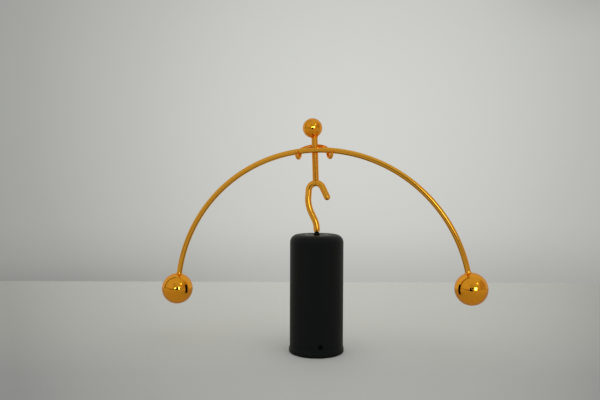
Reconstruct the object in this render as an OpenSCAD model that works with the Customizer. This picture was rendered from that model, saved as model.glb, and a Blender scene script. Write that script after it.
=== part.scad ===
/* [Base] */
// Diameter of the base body
base_d = 36; // [30:0.5:50]
// Height of the base from the table to its flat top
base_h = 79.2; // [50:0.1:120]
// Radius of the rounded top edge
top_round = 5.2; // [3:0.1:7]
// Wall thickness of the hollow base shell
shell_wall = 2; // [1.2:0.1:3]
// Thickness of the shell's top deck
deck_t = 7; // [6:0.1:12]
// How far the bottom cover's lip stands out past the shell
lip_proud = 0.5; // [0.2:0.1:1.5]
// Height of the bottom cover's lip
lip_h = 2.4; // [1.5:0.1:3.4]
// Height of the shell's flare, down to the lip
flare_h = 1.9; // [1:0.1:2.5]
// Height of the cover's spigot inside the shell
spigot_h = 8.6; // [7:0.1:15]
// Thickness of the rubber foot pad
pad_t = 1; // [0.6:0.1:2]
// How far the pad stands out under the cover
pad_proud = 0.3; // [0.1:0.1:0.5]
// Width of the bare ring of the cover round the pad
pad_margin = 3; // [1.5:0.1:6]
// Clearance of the ballast and of the spigot inside the shell
stack_gap = 0.1; // [0.05:0.01:0.3]

/* [Locking screw] */
// Diameter of the screw hole through the shell
hole_d = 3.6; // [3.2:0.1:4.4]
// Height of the screw hole's centre above the table
hole_z = 7.3; // [6.5:0.1:8.5]
// Turn of the screw hole from the front towards the right, in degrees
hole_turn = 17.5; // [-180:0.5:180]
// Thread diameter of the locking screw
screw_d = 3; // [2:0.5:3]
// Length of the locking screw
screw_l = 6; // [4:0.5:10]
// Width of the screw's hexagon socket across its corners
socket_d = 1.7; // [1:0.05:1.75]
// Depth of that socket
socket_depth = 2.7; // [1:0.1:3]
// Depth of the screw's head end below the shell's surface
screw_sunk = 1.2; // [0.5:0.1:1.8]

/* [Pivot] */
// Diameter of the pivot ball
pivot_d = 4.3; // [3.4:0.1:5.4]
// Diameter of the cup that holds the pivot ball
cup_d = 16; // [12:0.5:19]
// Thickness of the cup
cup_t = 4; // [3.4:0.1:5]
// Depth of the dish in the cup's top
dish_depth = 1; // [0.4:0.1:1.5]
// Width of the cup's flat rim round the dish
cup_rim = 0.6; // [0.3:0.1:1.5]
// Depth of the dimple in the end of the leg
dimple_depth = 0.25; // [0.1:0.05:0.4]
// Running clearance round the pivot ball and round the cup
pivot_gap = 0.05; // [0.03:0.01:0.1]

/* [Leg] */
// Diameter of the leg rod
leg_d = 4.3; // [3:0.1:5]
// Straight rod above the foot
toe_run = 1.8; // [0.5:0.1:5]
// Radius of the bend above the foot
ankle_r = 15.2; // [8:0.1:30]
// Angle of the bend above the foot
ankle_turn = 24.9; // [15:0.1:35]
// Straight rod of the shin
shin_run = 5; // [1:0.1:8]
// Radius of the bend at the knee
knee_r = 22.2; // [10:0.1:30]
// Angle of the bend at the knee
knee_turn = 30.6; // [20:0.1:40]
// Straight rod of the thigh
thigh_run = 4.1; // [1:0.1:8]
// Radius of the bend at the hip
hip_r = 4.9; // [4:0.1:7]
// Angle of the bend at the hip
hip_turn = 149.8; // [120:0.1:170]
// Straight rod of the raised leg, up to its rounded tip
raised_run = 7.5; // [3:0.1:12]

/* [Body and head] */
// Diameter of the upright rod of the body and neck
column_d = 4.2; // [3:0.1:5]
// Height of the head's centre above the pivot
head_z = 71.8; // [66:0.1:90]
// Diameter of the head ball
head_d = 13.2; // [10:0.1:18]
// How far the head's centre sits to the left of the neck
head_shift = 1.2; // [0:0.1:2]
// Depth of the neck inside the head
neck_depth = 4.5; // [3:0.1:5]
// Gap of a glued or welded joint
joint_gap = 0.02; // [0.01:0.01:0.05]

/* [Balance bar] */
// Diameter of the bar
bar_d = 3.7; // [2.5:0.1:4.5]
// Radius of the bar's curve
bar_r = 99.7; // [70:0.1:130]
// Height of the bar's middle above the pivot
bar_z = 56.7; // [50:0.1:62]
// Angle from the bar's middle to where it enters a ball
bar_reach = 80.2; // [60:0.1:88]
// Diameter of the balls on the bar's ends
ball_d = 21.3; // [16:0.1:26]
// Depth of the bar's ends inside the balls
ball_bore = 6; // [4:0.1:7.5]
// How far the bar lies in front of the pivot, so that the figure hangs upright
bar_ahead = 0.575; // [0:0.025:2]
// Clearance of the bar against the body and in the hands
clip_gap = 0.05; // [0.03:0.01:0.1]

/* [Arms] */
// Diameter of the arm wire
wire_d = 2.3; // [1.6:0.1:2.8]
// Distance of each hand from the body, along the bar
hand_x = 10.7; // [9:0.1:16]
// Turn of the left hand's hook, from straight ahead towards the outside
left_hand_turn = 12; // [0:0.5:40]
// Turn of the right hand's hook, from straight ahead towards the outside
right_hand_turn = 29.5; // [0:0.5:40]
// Depth of the hook's curve centre below the bar's centre
hand_drop = 1.25; // [0:0.05:3]
// Height of the arms' middle above the bar's centre
arm_rise = 3.15; // [2.5:0.05:4]
// How far the arms arch up from the wrists to their middle
arch_rise = 2; // [1:0.1:3]
// Bend radius of the wrist
wrist_r = 1.8; // [1.5:0.1:2.5]
// Straight wire between the wrist and the arch of the arm
forearm_run = 0.5; // [0.2:0.1:2]
// Height of the fingertip's straight wire above the hook's curve centre
finger_run = 1; // [0.3:0.1:3]
// Diameter of the weld bead that joins the arms to the body's back
bead_d = 3.2; // [2.9:0.1:4]
// How far the arm wire is sunk into that weld
weld_sink = 0.3; // [0.1:0.05:0.6]
// Gap between the arms' ends inside the weld
weld_gap = 0.6; // [0.2:0.1:1]

/* [Rest pose] */
// Lean of the balanced figure towards the left, in degrees
rest_lean = 1.9; // [0:0.1:5]
// Slide of the bar through the hands towards the left, in degrees of its curve
bar_slide = 0; // [-3:0.1:3]

/* [Hidden] */
$fn = 96;
// How much thinner a rod is in its bends, and how far its straight runs reach into them
bend_draw = 0.04;
splice = 0.05;
GOLD = "#D9942B";
BLACK = "#26272A";

// Heights of the base's pieces
shell_z = pad_proud + lip_h;
cavity_z = base_h - deck_t;
spigot_z = shell_z + spigot_h;
cavity_d = base_d - 2 * shell_wall;
cavity_round = top_round - shell_wall;
stack_d = cavity_d - 2 * stack_gap;
pad_d = base_d - 2 * pad_margin;
screw_start = base_d / 2 - screw_sunk;

// The shell's foot flares out in a hollow curve to the width of the lip
lip_d = base_d + 2 * lip_proud;
flare_r = flare_h / sin(2 * atan(lip_proud / flare_h));

// The pivot ball's centre is level with the base's flat top
pivot_z = base_h;
cup_seat_d = cup_d + 2 * pivot_gap;
dish_d = cup_d - 2 * cup_rim;
dish_sphere_r = (dish_d * dish_d / 4 + dish_depth * dish_depth) / (2 * dish_depth);
socket_r = pivot_d / 2 + pivot_gap;
foot_z = socket_r - dimple_depth;

// The leg's centre line in its own plane, as [x, z, heading]
function run_end(s, l) = [s[0] + l * cos(s[2]), s[1] + l * sin(s[2]), s[2]];
function bend_centre(s, r, turn) = [s[0] - sign(turn) * r * sin(s[2]), s[1] + sign(turn) * r * cos(s[2])];
function bend_end(s, r, turn) =
    let (c = bend_centre(s, r, turn), h = s[2] + turn)
    [c[0] + sign(turn) * r * sin(h), c[1] - sign(turn) * r * cos(h), h];
ankle_start = run_end([0, foot_z, 90], toe_run);
shin_start = bend_end(ankle_start, ankle_r, ankle_turn);
knee_start = run_end(shin_start, shin_run);
thigh_start = bend_end(knee_start, knee_r, -knee_turn);
hip_start = run_end(thigh_start, thigh_run);
hip_centre = bend_centre(hip_start, hip_r, -hip_turn);
hip_top = hip_centre[1] + hip_r;

// The body stands on the top of the hip, behind the bar
bar_y = -bar_ahead;
column_x = hip_centre[0];
column_y = bar_y + bar_d / 2 + clip_gap + column_d / 2;
leg_tilt = asin(column_y / hip_top);
column_z = hip_top * cos(leg_tilt);
column_top = head_z - head_d / 2 + neck_depth;

// The bar's curve, and the straight ends that the balls are fixed on
bar_centre_z = bar_z - bar_r;
ball_bore_d = bar_d + 2 * joint_gap;

// Each hand's hook stands upright and is turned a little outwards across the bar
grip = bar_d / 2 + wire_d / 2 + clip_gap;
hook_z = bar_centre_z + sqrt(bar_r * bar_r - hand_x * hand_x) - hand_drop;
weld_y = column_y + column_d / 2 + wire_d / 2 - weld_sink;
weld_z = bar_z + arm_rise;

// An arm's arch bends with equal tangents from the wrist to the weld
// plan is that distance as [inwards, backwards]
function arch_side(plan) = norm([plan[1], arch_rise]);
function arch_tangent(plan) = (plan * plan + arch_rise * arch_rise) / (2 * plan[0]);
function arch_heading(plan) =
    let (t = arch_tangent(plan))
    [plan[0] / t - 1, plan[1] / t, arch_rise / t];
// The wrist bend and the forearm take up some of the plan distance, so the plan of the arch is found in steps
function arch_plan(whole, plan, steps) =
    steps == 0 ? plan :
    let (h = arch_heading(plan), flat = [h[0], h[1]])
    arch_plan(whole, whole - flat * (forearm_run + wrist_r * (1 - h[2]) / norm(flat)), steps - 1);

// A rod made of straight runs and bends, starting at the origin along +Z
// Each step is [straight run, bend radius, bend angle, roll about the rod before the bend]
// The rod is drawn a little thinner where it bends, and each run reaches into the bends beside it
module bent_rod(d, steps, i = 0) {
    if (i < len(steps)) {
        run = steps[i][0];
        r = steps[i][1];
        turn = steps[i][2];
        rotate([0, 0, steps[i][3]]) {
            run_in = i > 0 ? splice : 0;
            run_out = turn != 0 ? splice : 0;
            translate([0, 0, -run_in]) cylinder(d = d, h = run_in + run + run_out);
            if (turn != 0) {
                translate([0, 0, run])
                    rotate([0, 0, turn < 0 ? 180 : 0])
                        translate([r, 0, 0])
                            rotate([90, 0, 0])
                                rotate_extrude(angle = abs(turn), start = 180 - abs(turn))
                                    translate([r, 0]) circle(d = d - bend_draw);
                translate([sign(turn) * r * (1 - cos(turn)), 0, run + r * sin(abs(turn))])
                    rotate([0, turn, 0])
                        bent_rod(d, steps, i + 1);
            }
        }
    }
}

// Half a ball on the end of a rod that comes up from below
module round_end(d) {
    intersection() {
        sphere(d = d - bend_draw);
        translate([-d, -d, -splice]) cube([2 * d, 2 * d, d]);
    }
}

module in_figure() {
    translate([0, 0, pivot_z]) rotate([0, -rest_lean, 0]) children();
}

module in_leg() {
    in_figure() rotate([-leg_tilt, 0, 0]) children();
}

module in_bar() {
    in_figure() translate([column_x, bar_y, bar_centre_z]) rotate([0, -bar_slide, 0]) children();
}

module leg_path(d) {
    translate([0, 0, foot_z])
        bent_rod(d, [
            [toe_run, ankle_r, -ankle_turn, 0],
            [shin_run, knee_r, knee_turn, 0],
            [thigh_run, hip_r, hip_turn, 0],
            [raised_run, 0, 0, 0]
        ]);
}

// The rounded tip of the raised leg
module leg_tip(d) {
    tip = run_end(bend_end(hip_start, hip_r, -hip_turn), raised_run);
    translate([tip[0], 0, tip[1]])
        rotate([0, 90 - tip[2], 0])
            round_end(d);
}

// One arm, from its fingertip to the weld at the body's back: side is -1 for left and 1 for right
module arm(side) {
    hand_turn = side < 0 ? left_hand_turn : right_hand_turn;
    hook_r = grip / cos(hand_turn);
    whole = [hand_x - hook_r * sin(hand_turn) - weld_gap / 2, weld_y - bar_y - grip];
    plan = arch_plan(whole, whole, 30);
    heading = arch_heading(plan);
    wrist_turn = acos(heading[2]);
    inward = atan2(heading[1], heading[0]);
    arch_turn = 2 * atan(arch_side(plan) / plan[0]);
    arch_r = arch_tangent(plan) / tan(arch_turn / 2);
    palm_run = weld_z - arch_rise - forearm_run * heading[2] - wrist_r * sin(wrist_turn) - hook_z;
    translate([
        column_x + side * (hand_x + hook_r * sin(hand_turn)),
        bar_y - grip,
        hook_z + finger_run
    ])
        rotate([0, 0, side * hand_turn - 90]) {
            round_end(wire_d);
            rotate([0, 180, 0])
                bent_rod(wire_d, [
                    [finger_run, hook_r, 180, 0],
                    [palm_run, wrist_r, wrist_turn, -side * (90 + hand_turn + inward)],
                    [forearm_run, arch_r, arch_turn, side * atan2(sin(inward), cos(inward) * cos(wrist_turn))]
                ]);
        }
}

// A straight end of the bar, or the bore for it, at one end of the curve
module at_bar_end(side) {
    rotate([0, side * bar_reach, 0])
        translate([0, 0, bar_r])
            rotate([0, side * 90, 0])
                children();
}

module end_ball(side) {
    color(GOLD)
        in_bar()
            at_bar_end(side)
                difference() {
                    translate([0, 0, ball_d / 2]) sphere(d = ball_d);
                    translate([0, 0, -1]) cylinder(d = ball_bore_d, h = ball_bore + joint_gap + 1);
                }
}

module shell_outline(d, h, round) {
    difference() {
        square([d / 2, h]);
        translate([d / 2 - round, h - round])
            difference() {
                square([round + 1, round + 1]);
                circle(r = round);
            }
    }
}

// The hollow flare at the shell's foot
module flare_outline() {
    difference() {
        translate([base_d / 2 - 1, 0]) square([1 + lip_proud, flare_h]);
        translate([base_d / 2 + flare_r, flare_h]) circle(r = flare_r);
    }
}

module base_shell() {
    color(BLACK)
        difference() {
            translate([0, 0, shell_z])
                rotate_extrude() {
                    shell_outline(base_d, base_h - shell_z, top_round);
                    flare_outline();
                }
            translate([0, 0, shell_z - 1])
                rotate_extrude() shell_outline(cavity_d, cavity_z - shell_z + 1, cavity_round);
            translate([0, 0, base_h - cup_t - pivot_gap])
                cylinder(d = cup_seat_d, h = cup_t + pivot_gap + 1);
            screw_axis() cylinder(d = hole_d, h = base_d);
        }
}

// Along the locking screw, outwards from the base's axis
module screw_axis() {
    translate([0, 0, hole_z]) rotate([0, 0, hole_turn - 90]) rotate([0, 90, 0]) children();
}

module bottom_cover() {
    color(BLACK)
        difference() {
            union() {
                translate([0, 0, pad_proud])
                    rotate_extrude()
                        difference() {
                            square([lip_d / 2, lip_h]);
                            difference() {
                                translate([lip_d / 2 - lip_proud, -1]) square([lip_proud + 1, lip_proud + 1]);
                                translate([lip_d / 2 - lip_proud, lip_proud]) circle(r = lip_proud);
                            }
                        }
                translate([0, 0, pad_proud]) cylinder(d = stack_d, h = lip_h + spigot_h);
            }
            translate([0, 0, -1]) cylinder(d = pad_d + 2 * stack_gap, h = pad_t + 1);
            screw_axis()
                translate([0, 0, screw_start - screw_l])
                    cylinder(d = screw_d + 2 * joint_gap, h = base_d);
        }
}

module locking_screw() {
    point_l = screw_d / 4;
    color("#3A3B3E")
        screw_axis()
            translate([0, 0, screw_start - screw_l])
                difference() {
                    union() {
                        cylinder(d1 = screw_d - 2 * point_l, d2 = screw_d, h = point_l);
                        translate([0, 0, point_l]) cylinder(d = screw_d, h = screw_l - point_l);
                    }
                    translate([0, 0, screw_l - socket_depth])
                        cylinder(d = socket_d, h = socket_depth + 1, $fn = 6);
                }
}

module foot_pad() {
    color("#1B1B1C") cylinder(d = pad_d, h = pad_t);
}

module ballast() {
    color("#6E7074")
        translate([0, 0, spigot_z])
            rotate_extrude() shell_outline(stack_d, cavity_z - spigot_z - stack_gap, cavity_round);
}

module pivot_cup() {
    color("#1F2023")
        translate([0, 0, pivot_z])
            difference() {
                translate([0, 0, -cup_t]) cylinder(d = cup_d, h = cup_t);
                translate([0, 0, dish_sphere_r - dish_depth]) sphere(r = dish_sphere_r, $fn = 360);
                sphere(r = socket_r);
            }
}

module pivot_ball() {
    color("#121214") translate([0, 0, pivot_z]) sphere(d = pivot_d);
}

module leg_rod() {
    color(GOLD)
        in_leg()
            difference() {
                union() {
                    leg_path(leg_d);
                    leg_tip(leg_d);
                }
                rotate([0, 90, 0]) sphere(r = socket_r);
            }
}

module torso_rod() {
    color(GOLD)
        difference() {
            in_figure()
                translate([column_x, column_y, column_z])
                    cylinder(d = column_d, h = column_top - column_z);
            in_leg() leg_path(leg_d + 2 * joint_gap);
        }
}

module head_ball() {
    color(GOLD)
        in_figure()
            difference() {
                translate([column_x - head_shift, column_y, head_z]) sphere(d = head_d);
                translate([column_x, column_y, head_z - head_d])
                    cylinder(d = column_d + 2 * joint_gap, h = column_top + joint_gap - head_z + head_d);
            }
}

module arm_wire() {
    color(GOLD)
        in_figure()
            difference() {
                union() {
                    arm(-1);
                    arm(1);
                    translate([column_x, weld_y, weld_z]) rotate([0, 90, 0]) sphere(d = bead_d);
                }
                translate([column_x, column_y, weld_z - bead_d])
                    cylinder(d = column_d + 2 * joint_gap, h = 2 * bead_d);
            }
}

module balance_bar() {
    color(GOLD)
        in_bar()
            union() {
                rotate([90, 0, 0])
                    rotate_extrude(angle = 2 * bar_reach, start = 90 - bar_reach, $fn = 360)
                        translate([bar_r, 0]) circle(d = bar_d, $fn = 64);
                for (side = [-1, 1])
                    at_bar_end(side)
                        translate([0, 0, -splice]) cylinder(d = bar_d - bend_draw, h = ball_bore + splice);
            }
}

module left_ball() end_ball(-1);

module right_ball() end_ball(1);

base_shell();
bottom_cover();
locking_screw();
foot_pad();
ballast();
pivot_cup();
pivot_ball();
leg_rod();
torso_rod();
head_ball();
arm_wire();
balance_bar();
left_ball();
right_ball();
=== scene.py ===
from math import acos, asin, atan, atan2, copysign, cos, degrees, hypot, pi, radians, sin, sqrt, tan

import bmesh
import bpy
from mathutils import Matrix, Vector


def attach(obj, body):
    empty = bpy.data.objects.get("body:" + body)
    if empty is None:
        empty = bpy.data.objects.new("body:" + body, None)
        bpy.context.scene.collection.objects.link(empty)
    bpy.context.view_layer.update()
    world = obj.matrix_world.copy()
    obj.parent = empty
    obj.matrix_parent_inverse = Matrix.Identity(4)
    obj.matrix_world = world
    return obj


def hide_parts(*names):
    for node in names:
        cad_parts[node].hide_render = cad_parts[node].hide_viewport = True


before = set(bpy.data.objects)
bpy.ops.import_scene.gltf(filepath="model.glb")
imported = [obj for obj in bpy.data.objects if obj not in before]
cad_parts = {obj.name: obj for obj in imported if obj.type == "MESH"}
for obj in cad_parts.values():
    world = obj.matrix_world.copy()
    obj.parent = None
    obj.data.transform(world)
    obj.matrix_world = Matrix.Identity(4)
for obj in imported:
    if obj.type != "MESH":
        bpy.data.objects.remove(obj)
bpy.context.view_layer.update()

MM = 0.001

# Driving dimensions of the CAD part, in millimetres and degrees
REST_LEAN = 1.9
PIVOT_Z = 79.2
SOCKET_R = 2.2
FOOT_Z = 1.95
LEG_D = 4.3
# Each step of a rod is a straight run, a bend's radius and angle, and a roll about the rod before the run
LEG_STEPS = [(1.8, 15.2, -24.9, 0), (5, 22.2, 30.6, 0), (4.1, 4.9, 149.8, 0), (7.5, 0, 0, 0)]
COLUMN_D = 4.2
COLUMN_TOP = 69.7
HEAD_D = 13.2
HEAD_SHIFT = 1.2
HEAD_Z = 71.8
BAR_D = 3.7
BAR_R = 99.7
BAR_TOP = 56.7
BAR_REACH = 80.2
BAR_AHEAD = 0.575
BALL_D = 21.3
BALL_BORE = 6
WIRE_D = 2.3
HAND_X = 10.7
LEFT_HAND_TURN = 12
RIGHT_HAND_TURN = 29.5
HAND_DROP = 1.25
ARM_RISE = 3.15
ARCH_RISE = 2
WRIST_R = 1.8
FOREARM_RUN = 0.5
FINGER_RUN = 1
WELD_SINK = 0.3
WELD_GAP = 0.6
BEAD_D = 3.2
CLIP_GAP = 0.05
JOINT_GAP = 0.02

# Small forms that only this script has, in millimetres
FOOT_EDGE_R = 0.15
HIP_WELD_R = 1.5
HIP_WELD_SUNK = 0.9
HIP_BEAD_R = 0.35
HIP_BEAD_IN = 0.1
HIP_BEAD_SUNK = 0.3
HIP_FILLET_R = 0.8
HIP_FILLET_RISE = 1.1
NECK_FILLET_R = 0.75
NECK_FILLET_DROP = 0.65
NECK_ROOT = 0.5
NECK_LAP = 0.2
NECK_SPREAD = 0.6
MOUTH_WIDTH = 0.75
MOUTH_FILLET_R = 0.9

# How finely the round forms are divided: sides about an axis, and degrees of a bend for each ring
BALL_SIDES = 192
HEAD_SIDES = 144
ROD_SIDES = 96
WIRE_SIDES = 64
BEAD_SIDES = 48
LEG_PITCH = 1.5
ARM_PITCH = 3
BAR_PITCH = 0.5
SHARP_EDGE = 40
MERGE = 1e-7


# Materials

def linear(code):
    """The linear colour of an sRGB hex value."""
    parts = [int(code[i:i + 2], 16) / 255 for i in (0, 2, 4)]
    return [p / 12.92 if p <= 0.04045 else ((p + 0.055) / 1.055) ** 2.4 for p in parts] + [1]


def add(tree, kind, sockets, out=None, stops=(), **settings):
    """Adds a node with its settings, fills or links its sockets, and gives back the output asked for.

    The stops of a colour ramp are pairs of a position and a hex value.
    """
    node = tree.nodes.new(kind)
    for name, value in settings.items():
        setattr(node, name, value)
    for name, value in sockets.items():
        if isinstance(value, bpy.types.NodeSocket):
            tree.links.new(value, node.inputs[name])
        else:
            node.inputs[name].default_value = value
    for place, (position, code) in enumerate(stops):
        elements = node.color_ramp.elements
        element = elements[place] if place < len(elements) else elements.new(1)
        element.position = position
        element.color = linear(code)
    return node if out is None else node.outputs[out]


def new_material(name):
    material = bpy.data.materials.new(name)
    material.use_nodes = True
    material.node_tree.nodes.clear()
    return material


# Size of the drift in the polish, and depth of the moulded grain
POLISH_DRIFT = 12.5
GRAIN_DEPTH = 0.05


def gold_plated_steel(name, code, low, high):
    """Steel with gold plate under clear lacquer: a deep orange mirror with pale highlights and a darker rim.

    Its roughness drifts between two values over about 12 mm, as hand polishing leaves it.
    """
    material = new_material(name)
    tree = material.node_tree
    place = add(tree, "ShaderNodeTexCoord", {}, "Object")
    haze = add(tree, "ShaderNodeTexNoise",
               {"Vector": place, "Scale": 1 / (POLISH_DRIFT * MM), "Detail": 1}, "Fac")
    rough = add(tree, "ShaderNodeMapRange",
                {"Value": haze, "From Min": 0.3, "From Max": 0.7, "To Min": low, "To Max": high}, "Result")
    shader = add(tree, "ShaderNodeBsdfPrincipled", {
        "Base Color": linear(code), "Metallic": 1, "Roughness": rough, "Specular Tint": linear("DCB888"),
        "Coat Weight": 0.5, "Coat Roughness": 0.03}, "BSDF")
    add(tree, "ShaderNodeOutputMaterial", {"Surface": shader})
    return material


def grained_black(name, code, roughness, grain):
    """A black surface with a fine grain, which softens its gloss, and paler where the view grazes it."""
    material = new_material(name)
    tree = material.node_tree
    place = add(tree, "ShaderNodeTexCoord", {}, "Object")
    pits = add(tree, "ShaderNodeTexNoise", {"Vector": place, "Scale": 1 / (grain * MM), "Detail": 3}, "Fac")
    bump = add(tree, "ShaderNodeBump",
               {"Height": pits, "Strength": 0.12, "Distance": GRAIN_DEPTH * MM}, "Normal")
    shader = add(tree, "ShaderNodeBsdfPrincipled", {
        "Base Color": linear(code), "Roughness": roughness, "IOR": 1.5, "Specular IOR Level": 0.12,
        "Normal": bump}, "BSDF")
    add(tree, "ShaderNodeOutputMaterial", {"Surface": shader})
    return material


# Balls polished to a mirror, drawn rods with a softer gloss, and rods brushed so that their highlights spread
gold = gold_plated_steel("gold_plated_polished_steel", "FEAA10", 0.03, 0.05)
rod_gold = gold_plated_steel("gold_plated_drawn_rod", "FEB630", 0.06, 0.08)
brushed_gold = gold_plated_steel("gold_plated_brushed_rod", "FEB030", 0.14, 0.17)
# Injection-moulded ABS, whose spark-eroded grain of a third of a millimetre gives the eye a satin black
shell_black = grained_black("moulded_black_abs", "0B1012", 0.5, 0.35)
cover_black = grained_black("moulded_black_abs_cover", "0A0E10", 0.5, 0.3)
# Turned and blackened steel: closer grain and a brighter gloss than the moulding
cup_black = grained_black("turned_black_steel", "0C0C0C", 0.3, 0.2)
screw_black = grained_black("blackened_steel", "080808", 0.45, 0.2)
# A polished glass bead: small sharp highlights on black
pivot_black = grained_black("polished_black_glass", "060606", 0.08, 1)
# Moulded rubber: matt and slightly grey
pad_black = grained_black("black_rubber", "101010", 0.8, 0.5)


# Pieces

def millimetres(x, y, z):
    return Matrix.Translation((x * MM, y * MM, z * MM))


def turn(angle, axis):
    return Matrix.Rotation(radians(angle), 4, axis)


def lathe(bm, place, profile, sides):
    """Turns a profile of (radius, height) points, in millimetres, about the Z axis of place."""
    verts = [bm.verts.new(place @ Vector((r * MM, 0, z * MM))) for r, z in profile]
    edges = [bm.edges.new(pair) for pair in zip(verts, verts[1:])]
    bmesh.ops.spin(bm, geom=verts + edges, cent=place.translation, axis=place.to_3x3() @ Vector((0, 0, 1)),
                   angle=2 * pi, steps=sides, use_merge=True)


def arc(cx, cz, radius, first, last, count):
    """Points of a circle's arc in a profile, from one angle to another, in degrees from +radius."""
    angles = [radians(first + (last - first) * i / count) for i in range(count + 1)]
    return [(cx + radius * cos(a), cz + radius * sin(a)) for a in angles]


def past_bend(place, radius, angle):
    """The place of a rod's end after a bend towards +X, or towards -X where the angle is negative."""
    reach = copysign(radius, angle) * (1 - cos(radians(angle)))
    return place @ millimetres(reach, 0, radius * sin(radians(abs(angle)))) @ turn(angle, "Y")


def bend_rod(bm, place, steps, pitch):
    """Draws the open ring of bm on through straight runs and bends, and gives back the ring at the end."""
    ring = [e for e in bm.edges if e.is_boundary]
    for run, radius, angle, roll in steps:
        place = place @ turn(roll, "Z")
        made = bmesh.ops.extrude_edge_only(bm, edges=ring)["geom"]
        verts = [g for g in made if isinstance(g, bmesh.types.BMVert)]
        ring = [g for g in made if isinstance(g, bmesh.types.BMEdge) and all(v in verts for v in g.verts)]
        bmesh.ops.translate(bm, verts=verts, vec=place.to_3x3() @ Vector((0, 0, run * MM)))
        place = place @ millimetres(0, 0, run)
        if angle:
            centre = place @ Vector((copysign(radius, angle) * MM, 0, 0))
            made = bmesh.ops.spin(bm, geom=ring, cent=centre, axis=place.to_3x3() @ Vector((0, 1, 0)),
                                  angle=radians(angle), steps=max(4, round(abs(angle) / pitch)))
            ring = [g for g in made["geom_last"] if isinstance(g, bmesh.types.BMEdge)]
            place = past_bend(place, radius, angle)
    return place, ring


def piece(bm, name, material, body, slot, *nodes):
    """Makes a finished mesh of bm, which rides on a body and stands for CAD nodes."""
    bmesh.ops.remove_doubles(bm, verts=bm.verts, dist=MERGE)
    bmesh.ops.recalc_face_normals(bm, faces=bm.faces)
    mesh = bpy.data.meshes.new(name)
    bm.to_mesh(mesh)
    bm.free()
    mesh.shade_smooth()
    mesh.set_sharp_from_angle(angle=radians(SHARP_EDGE))
    mesh.materials.append(material)
    made = bpy.data.objects.new(name, mesh)
    bpy.context.scene.collection.objects.link(made)
    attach(made, body)
    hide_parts(*nodes)
    return made


# The figure leans about the pivot, and its leg is tilted back so that the torso stands behind the bar
in_figure = millimetres(0, 0, PIVOT_Z) @ turn(-REST_LEAN, "Y")
thigh = millimetres(0, 0, FOOT_Z)
for run, radius, angle, roll in LEG_STEPS[:2]:
    thigh = past_bend(thigh @ turn(roll, "Z") @ millimetres(0, 0, run), radius, angle)
thigh_run, hip_r = LEG_STEPS[2][:2]
hip_centre = thigh @ Vector((hip_r * MM, 0, thigh_run * MM)) / MM
hip_top = hip_centre.z + hip_r
bar_y = -BAR_AHEAD
column_x = hip_centre.x
column_y = bar_y + BAR_D / 2 + CLIP_GAP + COLUMN_D / 2
leg_tilt = asin(column_y / hip_top)
in_leg = in_figure @ Matrix.Rotation(-leg_tilt, 4, "X")
in_bar = in_figure @ millimetres(column_x, bar_y, BAR_TOP - BAR_R)


def make_leg():
    """The S-shaped leg: a dimpled foot, the bends, and the rounded tip of the raised leg."""
    bm = bmesh.new()
    r = LEG_D / 2
    opening = degrees(acos(FOOT_Z / SOCKET_R))
    dimple = arc(0, 0, SOCKET_R, 90, 90 - opening, 6)
    edge = arc(r - FOOT_EDGE_R, FOOT_Z + FOOT_EDGE_R, FOOT_EDGE_R, -90, 0, 5)
    lathe(bm, in_leg, dimple + edge, ROD_SIDES)
    toe, *others = LEG_STEPS
    steps = [(toe[0] - FOOT_EDGE_R, *toe[1:])] + others
    end, _ = bend_rod(bm, in_leg @ millimetres(0, 0, FOOT_Z + FOOT_EDGE_R), steps, LEG_PITCH)
    lathe(bm, end, arc(0, 0, r, 0, 90, 24), ROD_SIDES)
    return piece(bm, "leg", rod_gold, "figure", "gold_plate", "leg_rod")


def make_torso():
    """The upright rod, with a small weld where it stands on the hip."""
    bm = bmesh.new()
    r = COLUMN_D / 2
    low = hip_top * cos(leg_tilt)
    bead = arc(r - HIP_BEAD_IN, low - HIP_BEAD_SUNK, HIP_BEAD_R, -60, 30, 6)
    fillet = arc(r + HIP_FILLET_R, low + HIP_FILLET_RISE, HIP_FILLET_R, -125, -180, 8)
    foot = [(0, low - HIP_WELD_SUNK), (HIP_WELD_R, low - HIP_WELD_SUNK)]
    lathe(bm, in_figure @ millimetres(column_x, column_y, 0),
          foot + bead + fillet + [(r, COLUMN_TOP), (0, COLUMN_TOP)], ROD_SIDES)
    return piece(bm, "torso", brushed_gold, "figure", "gold_plate", "torso_rod")


def make_head():
    """The head: a ball, with a thin fillet of solder round the neck that enters it off its axis."""
    bm = bmesh.new()
    big = HEAD_D / 2
    lathe(bm, in_figure @ millimetres(column_x - HEAD_SHIFT, column_y, HEAD_Z), arc(0, 0, big, -90, 90, 72),
          HEAD_SIDES)
    r = COLUMN_D / 2
    entry = HEAD_Z - sqrt(big ** 2 - HEAD_SHIFT ** 2 - r ** 2)
    neck = in_figure @ millimetres(column_x, column_y, entry) @ turn(-degrees(asin(HEAD_SHIFT / big)), "Y")
    fillet = arc(r + NECK_FILLET_R, -NECK_FILLET_DROP, NECK_FILLET_R, 180, 90, 8)
    root = [(r - NECK_ROOT, NECK_ROOT), (r - NECK_LAP, -NECK_FILLET_DROP)]
    lathe(bm, neck, root + fillet + [(r + NECK_SPREAD, NECK_ROOT)], WIRE_SIDES)
    return piece(bm, "head", gold, "figure", "gold_plate", "head_ball")


def arch_of(whole):
    """The arch of an arm over a plan distance of (inwards, backwards).

    Gives back its own plan distance, its tangents' length and its first heading. The wrist before it takes
    a share of the distance that depends on the heading, so they are found by turns.
    """
    plan = whole
    for _ in range(30):
        tangent = (plan.length_squared + ARCH_RISE ** 2) / (2 * plan.x)
        heading = Vector((plan.x / tangent - 1, plan.y / tangent, ARCH_RISE / tangent))
        flat = heading.to_2d()
        plan = whole - flat * (FOREARM_RUN + WRIST_R * (1 - heading.z) / flat.length)
    return plan, tangent, heading


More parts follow.
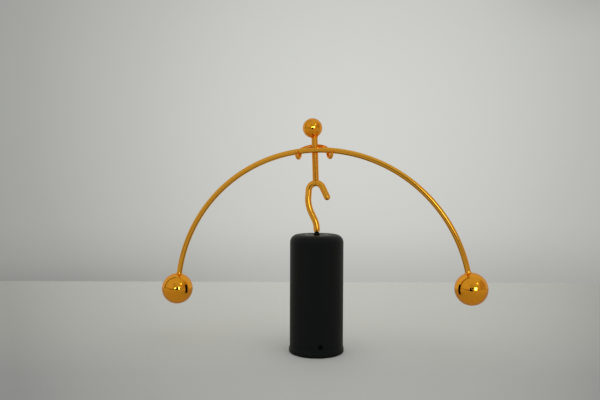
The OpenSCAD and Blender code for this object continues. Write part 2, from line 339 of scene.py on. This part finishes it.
def make_arms():
    """The arm wire: a hook for each hand round the bar, an arch from each wrist, and the weld at the back."""
    bm = bmesh.new()
    r = WIRE_D / 2
    grip = BAR_D / 2 + r + CLIP_GAP
    hook_z = BAR_TOP - BAR_R + sqrt(BAR_R ** 2 - HAND_X ** 2) - HAND_DROP
    weld_y = column_y + COLUMN_D / 2 + r - WELD_SINK
    weld_z = BAR_TOP + ARM_RISE
    for side, hand_turn in ((-1, LEFT_HAND_TURN), (1, RIGHT_HAND_TURN)):
        hook_r = grip / cos(radians(hand_turn))
        out = hook_r * sin(radians(hand_turn))
        plan, tangent, heading = arch_of(Vector((HAND_X - out - WELD_GAP / 2, weld_y - bar_y - grip)))
        wrist = degrees(acos(heading.z))
        inward = degrees(atan2(heading.y, heading.x))
        arch = 2 * atan(hypot(plan.y, ARCH_RISE) / plan.x)
        palm = weld_z - ARCH_RISE - FOREARM_RUN * heading.z - WRIST_R * sin(radians(wrist)) - hook_z
        roll = degrees(atan2(sin(radians(inward)), cos(radians(inward)) * cos(radians(wrist))))
        arm = bmesh.new()
        start = (in_figure @ millimetres(column_x + side * (HAND_X + out), bar_y - grip, hook_z + FINGER_RUN)
                 @ turn(side * hand_turn - 90, "Z") @ turn(180, "Y"))
        lathe(arm, start, arc(0, 0, r, -90, 0, 16), WIRE_SIDES)
        steps = [(FINGER_RUN, hook_r, 180, 0),
                 (palm, WRIST_R, wrist, -side * (90 + hand_turn + inward)),
                 (FOREARM_RUN, tangent / tan(arch / 2), degrees(arch), side * roll)]
        _, ring = bend_rod(arm, start, steps, ARM_PITCH)
        bmesh.ops.edgeloop_fill(arm, edges=ring)
        part = bpy.data.meshes.new("arm")
        arm.to_mesh(part)
        arm.free()
        bm.from_mesh(part)
        bpy.data.meshes.remove(part)
    weld = in_figure @ millimetres(column_x, weld_y, weld_z)
    lathe(bm, weld @ turn(90, "Y"), arc(0, 0, BEAD_D / 2, -90, 90, 24), BEAD_SIDES)
    return piece(bm, "arms", brushed_gold, "figure", "gold_plate", "arm_wire")


def bar_end(side):
    """The place where the bar enters a ball, with Z along the bar and into the ball."""
    return in_bar @ turn(side * BAR_REACH, "Y") @ millimetres(0, 0, BAR_R) @ turn(side * 90, "Y")


def make_bar():
    """The balance bar: a circular arc with a straight end inside each ball."""
    bm = bmesh.new()
    start = bar_end(-1) @ millimetres(0, 0, BALL_BORE) @ turn(180, "Y")
    lathe(bm, start, [(0, 0), (BAR_D / 2, 0)], WIRE_SIDES)
    _, ring = bend_rod(bm, start, [(BALL_BORE, BAR_R, 2 * BAR_REACH, 0), (BALL_BORE, 0, 0, 0)], BAR_PITCH)
    bmesh.ops.edgeloop_fill(bm, edges=ring)
    return piece(bm, "bar", rod_gold, "bar", "gold_plate", "balance_bar")


def make_ball(side, name, node):
    """A weight: a ball with a bore for the bar and a fillet of solder round its mouth."""
    bm = bmesh.new()
    big = BALL_D / 2
    bore = BAR_D / 2 + JOINT_GAP
    mouth = bore + MOUTH_WIDTH
    solder = arc(bore + MOUTH_FILLET_R, -MOUTH_WIDTH, MOUTH_FILLET_R, 180, 105, 8)
    outside = arc(0, big, big, -degrees(acos(mouth / big)), 90, 120)
    lathe(bm, bar_end(side), [(0, BALL_BORE), (bore, BALL_BORE)] + solder + outside, BALL_SIDES)
    return piece(bm, name, gold, "bar", "gold_plate", node)


leg = make_leg()
upright = [make_torso(), make_arms()]
bar = make_bar()
balls = [make_head(), make_ball(-1, "weight_left", "left_ball"), make_ball(1, "weight_right", "right_ball")]

# These nodes keep their CAD shape
for node, material in (("base_shell", shell_black), ("bottom_cover", cover_black), ("pivot_cup", cup_black),
                       ("pivot_ball", pivot_black), ("locking_screw", screw_black), ("foot_pad", pad_black),
                       ("ballast", screw_black)):
    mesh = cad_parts[node].data
    mesh.materials.clear()
    mesh.materials.append(material)


# Camera

# Place, pitch and roll were fitted to the photograph. The lens gives 610 pixels of focal length
CAMERA = Vector((62.8, -405.0, 116.9)) * MM
PITCH = radians(2.03)
ROLL = 0.0035
along = Vector((-0.180, 0.984, 0)).normalized()
right = along.cross(Vector((0, 0, 1)))
forward = along * cos(PITCH) + Vector((0, 0, -sin(PITCH)))
camera_data = bpy.data.cameras.new("camera")
camera_data.lens = 36.6
camera_data.sensor_width = 36
camera_data.shift_x = -0.0007
camera_data.clip_start = 0.01
camera = bpy.data.objects.new("camera", camera_data)
bpy.context.scene.collection.objects.link(camera)
camera.rotation_mode = "QUATERNION"
camera.location = CAMERA
camera.rotation_quaternion = forward.to_track_quat("-Z", "Y") @ Matrix.Rotation(ROLL, 3, "Z").to_quaternion()
bpy.context.scene.camera = camera


# Floor, background and light

WHITE = linear("FFFFFF")
BLACK = linear("000000")
SMOOTH = {"interpolation_type": "SMOOTHSTEP"}
# A Mix node of colours takes its share on input 0 and its colours on inputs 6 and 7, and ends on output 2
COLOUR = {"data_type": "RGBA"}
COLOUR_OUT = 2
# The wall stands this far behind the object, and the floor fades out into it over the last centimetre
WALL_BEHIND = 0.275
FADE_FROM = WALL_BEHIND - 0.006
FADE_TO = WALL_BEHIND + 0.005
FLOOR_WIDTH = 8
FLOOR_LENGTH = 4
FLOOR_PAST_WALL = 0.02
# The floor's painted light rises from this line, in front of the object, to the wall
FLOOR_FRONT = -0.1
# The window whose light is painted on the floor stands this far in front of the object. Nearer to it than the
# second distance, its painted light falls off to the sides as fast as at that distance
WINDOW_AHEAD = 0.41
WINDOW_NEAR = 0.3
LAMP_AIM = Vector((0, 0, 0.08))
facing = Matrix.Rotation(along.to_2d().angle_signed(Vector((0, 1))), 4, "Z")


def stage_plane(name, place, half_x, half_y, material):
    bm = bmesh.new()
    bmesh.ops.create_grid(bm, x_segments=1, y_segments=1, size=1)
    bmesh.ops.scale(bm, vec=(half_x, half_y, 1), verts=bm.verts)
    bmesh.ops.transform(bm, matrix=place, verts=bm.verts)
    mesh = bpy.data.meshes.new(name)
    bm.to_mesh(mesh)
    bm.free()
    mesh.materials.append(material)
    made = bpy.data.objects.new(name, mesh)
    bpy.context.scene.collection.objects.link(made)
    return made


def floor_material():
    """A pale grey table top with painted light, brightest towards the wall, and painted shade to its sides;
    it fades out into the wall at its far edge.
    """
    material = new_material("pale_floor")
    tree = material.node_tree
    place = add(tree, "ShaderNodeTexCoord", {}, "Object")
    across = add(tree, "ShaderNodeVectorMath", {0: place, 1: right}, "Value", operation="DOT_PRODUCT")
    back = add(tree, "ShaderNodeVectorMath", {0: place, 1: along}, "Value", operation="DOT_PRODUCT")
    share = add(tree, "ShaderNodeMapRange",
                {"Value": back, "From Min": FLOOR_FRONT, "From Max": WALL_BEHIND}, "Result")
    # Painted light: the table is paler from the front line to the wall
    painted_light_tone = add(tree, "ShaderNodeValToRGB", {"Fac": share}, "Color", stops=(
        (0, "A9AAA9"), (0.14, "ACADAC"), (0.24, "B2B3B1"), (0.42, "B8B9B5"), (0.6, "BBBCB8"), (1, "BFC0BC")))
    # Painted shade of a window in front of the table: it darkens to both sides of a line from there
    ahead = add(tree, "ShaderNodeMath", {0: back, 1: WINDOW_AHEAD}, 0, operation="ADD")
    depth = add(tree, "ShaderNodeMath", {0: ahead, 1: WINDOW_NEAR}, 0, operation="MAXIMUM")
    side = add(tree, "ShaderNodeMath", {0: across, 1: depth}, 0, operation="DIVIDE")
    share = add(tree, "ShaderNodeMapRange", {"Value": side, "From Min": -0.5, "From Max": 0.5}, "Result")
    painted_side_shade = add(tree, "ShaderNodeValToRGB", {"Fac": share}, "Color", stops=(
        (0, "CFCFCF"), (0.11, "E3E3E3"), (0.27, "F5F5F5"), (0.45, "FFFFFF"), (0.6, "FFFFFF"),
        (0.75, "F8F8F8"), (0.84, "EFEFEF"), (0.91, "E5E5E5"), (1, "D2D2D2")))
    # Further out, and well in front, the painted shade gives way to an even tone again, so that the table is
    # plain from every side
    off = add(tree, "ShaderNodeMath", {0: side}, 0, operation="ABSOLUTE")
    beside = add(tree, "ShaderNodeMapRange",
                 {"Value": off, "From Min": 0.45, "From Max": 2.2}, "Result", **SMOOTH)
    near = add(tree, "ShaderNodeMapRange",
               {"Value": back, "From Min": FLOOR_FRONT, "From Max": -0.4}, "Result", **SMOOTH)
    even = add(tree, "ShaderNodeMath", {0: beside, 1: near}, 0, operation="MAXIMUM")
    painted_side_shade = add(tree, "ShaderNodeMix", {0: even, 6: painted_side_shade, 7: WHITE}, COLOUR_OUT, **COLOUR)
    seen = add(tree, "ShaderNodeMix", {0: 1.0, 6: painted_light_tone, 7: painted_side_shade}, COLOUR_OUT, blend_type="MULTIPLY", **COLOUR)
    # The gold mirrors the whole table without that painted shade, and with painted light that makes it a
    # little paler where it is far away
    distance = add(tree, "ShaderNodeVectorMath", {0: place}, "Value", operation="LENGTH")
    far_painted_light = add(tree, "ShaderNodeMapRange",
              {"Value": distance, "From Min": 0.12, "From Max": 0.4}, "Result", **SMOOTH)
    mirrored = add(tree, "ShaderNodeMix",
                   {0: far_painted_light, 6: linear("A7A195"), 7: linear("B4AEA1")}, COLOUR_OUT, **COLOUR)
    camera_ray = add(tree, "ShaderNodeLightPath", {}, "Is Camera Ray")
    shade = add(tree, "ShaderNodeMix", {0: camera_ray, 6: mirrored, 7: seen}, COLOUR_OUT, **COLOUR)
    shader = add(tree, "ShaderNodeBsdfPrincipled",
                 {"Base Color": shade, "Roughness": 0.75, "Specular IOR Level": 0.15}, "BSDF")
    gone = add(tree, "ShaderNodeMapRange",
               {"Value": back, "From Min": FADE_FROM, "From Max": FADE_TO}, "Result", **SMOOTH)
    clear = add(tree, "ShaderNodeBsdfTransparent", {}, 0)
    faded = add(tree, "ShaderNodeMixShader", {0: gone, 1: shader, 2: clear}, 0)
    add(tree, "ShaderNodeOutputMaterial", {"Surface": faded})
    return material


def dark_card(name, place, half_x, half_y, code):
    """A dark card that shows only in the gold."""
    material = new_material(name)
    tree = material.node_tree
    shader = add(tree, "ShaderNodeBsdfDiffuse", {"Color": linear(code)}, "BSDF")
    add(tree, "ShaderNodeOutputMaterial", {"Surface": shader})
    made = stage_plane(name, place @ turn(90, "X"), half_x, half_y, material)
    made.visible_camera = False
    made.visible_diffuse = False
    made.visible_shadow = False


floor_middle = Matrix.Translation((0, WALL_BEHIND + FLOOR_PAST_WALL - FLOOR_LENGTH / 2, 0))
stage_plane("floor", facing @ floor_middle, FLOOR_WIDTH / 2, FLOOR_LENGTH / 2, floor_material())
# One, 18 cm square, stands just behind the camera's place. The other is 5 cm high and 1.2 m long, and stands
# on the table far off to the left, further from the object than the camera
behind = CAMERA - along * 0.03
dark_card("dark_square", Matrix.Translation((behind.x, behind.y, 0.093)) @ facing, 0.09, 0.09, "080706")
dark_card("dark_strip", facing @ Matrix.Translation((-0.95, -0.9, 0.025)), 0.6, 0.025, "1A120C")


def room():
    """The room: its wall behind the object, with painted light and shade, what the gold mirrors of its walls
    and ceiling, and its light.
    """
    world = bpy.data.worlds.new("room")
    bpy.context.scene.world = world
    world.use_nodes = True
    tree = world.node_tree
    tree.nodes.clear()
    direction = add(tree, "ShaderNodeTexCoord", {}, "Generated")
    height = add(tree, "ShaderNodeSeparateXYZ", {0: direction}, "Z")
    across = add(tree, "ShaderNodeVectorMath", {0: direction, 1: right}, "Value", operation="DOT_PRODUCT")
    back = add(tree, "ShaderNodeVectorMath", {0: direction, 1: along}, "Value", operation="DOT_PRODUCT")

    # Painted light: the wall is brightest a little above and to the right of the object, by these angles
    over, beside = radians(5), radians(4.9)
    painted_light_centre = along * cos(beside) + right * sin(beside) + Vector((0, 0, tan(over)))
    near = add(tree, "ShaderNodeVectorMath", {0: direction, 1: painted_light_centre.normalized()}, "Value",
               operation="DOT_PRODUCT")
    wall = add(tree, "ShaderNodeValToRGB", {"Fac": near}, "Color", stops=(
        (0.6, "A0A19D"), (0.82, "9A9B97"), (0.875, "A6A7A3"), (0.94, "BBBCB7"), (0.988, "CDCEC9"),
        (1, "D2D3CF")))
    # Painted shade: the wall darkens towards the floor over its whole width, and in its upper right and lower
    # left corners. Each row gives the heights and the places across between which it darkens, and by how much
    for low, high, first, last, most in ((-0.06, -0.19, -2, -1.9, 0.18), (0.2, 0.3, 0.25, 0.5, 0.27),
                                         (-0.12, -0.18, -0.05, -0.4, 0.13)):
        up = add(tree, "ShaderNodeMapRange",
                 {"Value": height, "From Min": low, "From Max": high}, "Result", **SMOOTH)
        aside = add(tree, "ShaderNodeMapRange",
                    {"Value": across, "From Min": first, "From Max": last}, "Result", **SMOOTH)
        # Painted shade where the row's heights and places across meet
        painted_shade_patch = add(tree, "ShaderNodeMath", {0: up, 1: aside}, 0, operation="MULTIPLY")
        share = add(tree, "ShaderNodeMath", {0: painted_shade_patch, 1: most}, 0, operation="MULTIPLY")
        wall = add(tree, "ShaderNodeMix", {0: share, 6: wall, 7: BLACK}, COLOUR_OUT, **COLOUR)

    # The gold mirrors the rest of the room: pale walls, with a darker and browner part on the right
    share = add(tree, "ShaderNodeMapRange", {"Value": across, "From Min": -1, "From Max": 1}, "Result")
    walls = add(tree, "ShaderNodeValToRGB", {"Fac": share}, "Color", stops=(
        (0, "B8B6AA"), (0.1, "C3C1B4"), (0.27, "C3C1B4"), (0.34, "AEAC9F"), (0.5, "AFADA0"), (0.58, "C0BEB2"),
        (0.8, "BCB9AC"), (0.88, "A99A86"), (0.98, "A89884"), (1, "B8B2A4")))
    # then a browner band above the table, a paler ceiling, and the pale wall at the back
    for value, low, high, code in ((height, 0.2, 0.03, "A6998A"), (height, 0.55, 0.85, "C2C1B6"),
                                   (back, 0.1, 0.35, "CDCCC3")):
        share = add(tree, "ShaderNodeMapRange",
                    {"Value": value, "From Min": low, "From Max": high}, "Result", **SMOOTH)
        walls = add(tree, "ShaderNodeMix", {0: share, 6: walls, 7: linear(code)}, COLOUR_OUT, **COLOUR)
    # and a dark corner between two walls on the left, with four fifths of its own colour
    share = 0.8
    for value, low, high in ((back, 0.04, 0.09), (back, 0.24, 0.17), (across, 0.0, -0.25)):
        part = add(tree, "ShaderNodeMapRange",
                   {"Value": value, "From Min": low, "From Max": high}, "Result", **SMOOTH)
        share = add(tree, "ShaderNodeMath", {0: part, 1: share}, 0, operation="MULTIPLY")
    walls = add(tree, "ShaderNodeMix", {0: share, 6: walls, 7: linear("3A2C20")}, COLOUR_OUT, **COLOUR)

    # The gold mirrors the room, the camera sees the wall, and an even pale light falls on everything
    path = add(tree, "ShaderNodeLightPath", {})
    mirrored = add(tree, "ShaderNodeMath",
                   {0: path.outputs["Is Glossy Ray"], 1: path.outputs["Is Transmission Ray"]}, 0,
                   operation="ADD", use_clamp=True)
    lit = add(tree, "ShaderNodeBackground", {"Color": linear("F2F2EE"), "Strength": 1.05}, 0)
    seen = add(tree, "ShaderNodeBackground", {"Color": wall, "Strength": 1}, 0)
    reflected = add(tree, "ShaderNodeBackground", {"Color": walls, "Strength": 1}, 0)
    around = add(tree, "ShaderNodeMixShader", {0: mirrored, 1: lit, 2: reflected}, 0)
    whole = add(tree, "ShaderNodeMixShader", {0: path.outputs["Is Camera Ray"], 1: around, 2: seen}, 0)
    add(tree, "ShaderNodeOutputWorld", {"Surface": whole})


def lamp(name, power, width, height, across, ahead, up):
    """A lamp at a distance across and ahead of the object, towards the camera, and at a height, in metres."""
    data = bpy.data.lights.new(name, "AREA")
    data.shape = "RECTANGLE"
    data.size = width
    data.size_y = height
    data.energy = power
    made = bpy.data.objects.new(name, data)
    bpy.context.scene.collection.objects.link(made)
    made.location = right * across - along * ahead + Vector((0, 0, up))
    made.rotation_mode = "QUATERNION"
    made.rotation_quaternion = (LAMP_AIM - made.location).to_track_quat("-Z", "Y")
    made.visible_camera = False
    return made


room()
# A large soft lamp above and in front, on the right, which the gold doesn't mirror
lamp("soft_key", 5, 1.6, 1.4, 0.64, 0.93, 1.6).visible_glossy = False
# The panes of the windows, which show only in the gold: small bright ones on the balls, whose mirrors are
# sharp, and large weak ones on the rods, where small ones would break up into specks
for name, lit, power, width, height, across, ahead, up in (
        ("pane_right", balls, 16, 0.46, 0.5, 0.56, 1.8, 0.37),
        ("pane_left", balls, 3.2, 0.24, 0.18, -0.2, 1.8, 0.34),
        ("pane_high", balls, 0.5, 0.2, 0.2, 0.88, 0.97, 1.17),
        ("pane_upright", upright, 1.1, 0.7, 0.56, 0.24, 1.8, 0.5),
        ("pane_rods", [leg, bar], 2.6, 0.56, 0.56, 0.6, 1.8, 0.6)):
    pane = lamp(name, power, width, height, across, ahead, up)
    pane.visible_diffuse = False
    pane.light_linking.receiver_collection = bpy.data.collections.new(name)
    for thing in lit:
        pane.light_linking.receiver_collection.objects.link(thing)

bpy.context.scene.view_settings.view_transform = "Standard"
